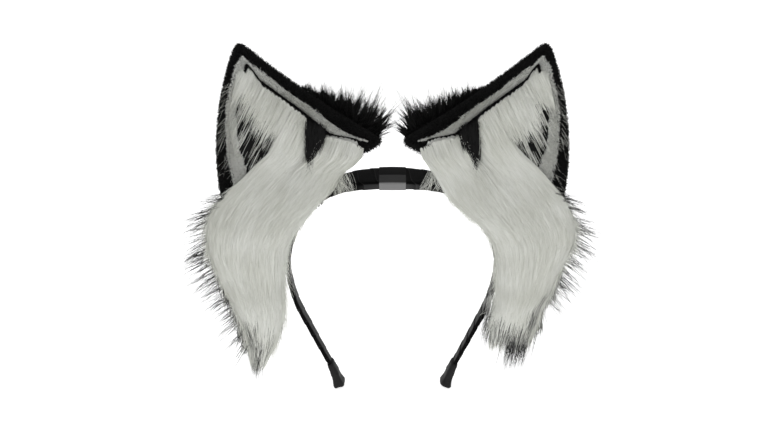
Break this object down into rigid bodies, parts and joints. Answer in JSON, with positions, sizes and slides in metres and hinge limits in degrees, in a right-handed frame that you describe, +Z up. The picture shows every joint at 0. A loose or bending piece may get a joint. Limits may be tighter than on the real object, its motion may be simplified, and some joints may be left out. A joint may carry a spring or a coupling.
{
  "type": "animal ears headband",
  "caption": "Ribbon-wrapped hoop with two upright faux-fur animal ears, black outside and white inside, and a long hanging fur lock below each ear.",
  "frame": {"origin": "middle of the crown's underside, where the hoop sits on top of a head", "axes": "+Z up, away from the head; -Y is the front, the side the open ears face; the hoop lies in the plane Y = 0, and its legs run down either side of the head at -X (left as seen from the front) and +X"},
  "size_m": [0.24, 0.0526, 0.2425],
  "materials": {
    "steel": "satin",
    "hoop_plastic": "matte",
    "satin_ribbon": "satin",
    "glossy_tape": "gloss",
    "rubber": "matte",
    "felt": "matte",
    "foam": "matte",
    "knit_backing": "matte",
    "white_fur": "matte",
    "black_fur": "matte"
  },
  "bodies": {
    "crown": {"hoop_crown": "hoop_plastic", "ribbon_wrap_crown": "satin_ribbon", "centre_wrap": "glossy_tape", "ear_base_pad_left": "felt", "ear_base_pad_right": "felt", "ear_strap_left": "satin_ribbon", "ear_strap_right": "satin_ribbon", "lock_anchor_left": "felt", "lock_anchor_right": "felt"},
    "leg_left": {"hoop_leg_left": "hoop_plastic", "ribbon_wrap_leg_left": "satin_ribbon", "tip_sleeve_left": "rubber"},
    "ear_left": {"ear_back_fur_left": "black_fur", "ear_edge_binding_left": "black_fur", "ear_frame_wire_left": "steel", "ear_foam_core_left": "foam", "ear_short_pile_band_left": "white_fur", "ear_dark_seam_left": "black_fur", "ear_inner_fur_left": "white_fur", "ear_back_tuft_left": "black_fur"},
    "lock_left": {"lock_front_fur_left": "white_fur", "lock_backing_left": "knit_backing", "lock_rear_fur_left": "black_fur"},
    "leg_right": {"hoop_leg_right": "hoop_plastic", "ribbon_wrap_leg_right": "satin_ribbon", "tip_sleeve_right": "rubber"},
    "ear_right": {"ear_back_fur_right": "black_fur", "ear_edge_binding_right": "black_fur", "ear_frame_wire_right": "steel", "ear_foam_core_right": "foam", "ear_short_pile_band_right": "white_fur", "ear_dark_seam_right": "black_fur", "ear_inner_fur_right": "white_fur", "ear_back_tuft_right": "black_fur"},
    "lock_right": {"lock_front_fur_right": "white_fur", "lock_backing_right": "knit_backing", "lock_rear_fur_right": "black_fur"}
  },
  "joints": [
    {"name": "leg_flex_left", "type": "hinge", "parent": "crown", "child": "leg_left", "pos_m": [-0.06186, 0, -0.02963], "axis": [0, 1, 0], "range_deg": [-3, 14], "stiffness_Nm_per_rad": 0.4},
    {"name": "ear_tilt_left", "type": "hinge", "parent": "crown", "child": "ear_left", "pos_m": [-0.05371, 0, -0.00537], "axis": [0.7531, 0, 0.6579], "range_deg": [-10, 10]},
    {"name": "lock_swing_left", "type": "hinge", "parent": "crown", "child": "lock_left", "pos_m": [-0.09, -0.015, -0.023], "axis": [1, 0, 0], "range_deg": [-30, 2]},
    {"name": "leg_flex_right", "type": "hinge", "parent": "crown", "child": "leg_right", "pos_m": [0.06186, 0, -0.02963], "axis": [0, -1, 0], "range_deg": [-3, 14], "stiffness_Nm_per_rad": 0.4},
    {"name": "ear_tilt_right", "type": "hinge", "parent": "crown", "child": "ear_right", "pos_m": [0.05371, 0, -0.00537], "axis": [0.7531, 0, -0.6579], "range_deg": [-10, 10]},
    {"name": "lock_swing_right", "type": "hinge", "parent": "crown", "child": "lock_right", "pos_m": [0.09, -0.015, -0.023], "axis": [1, 0, 0], "range_deg": [-30, 2]}
  ]
}
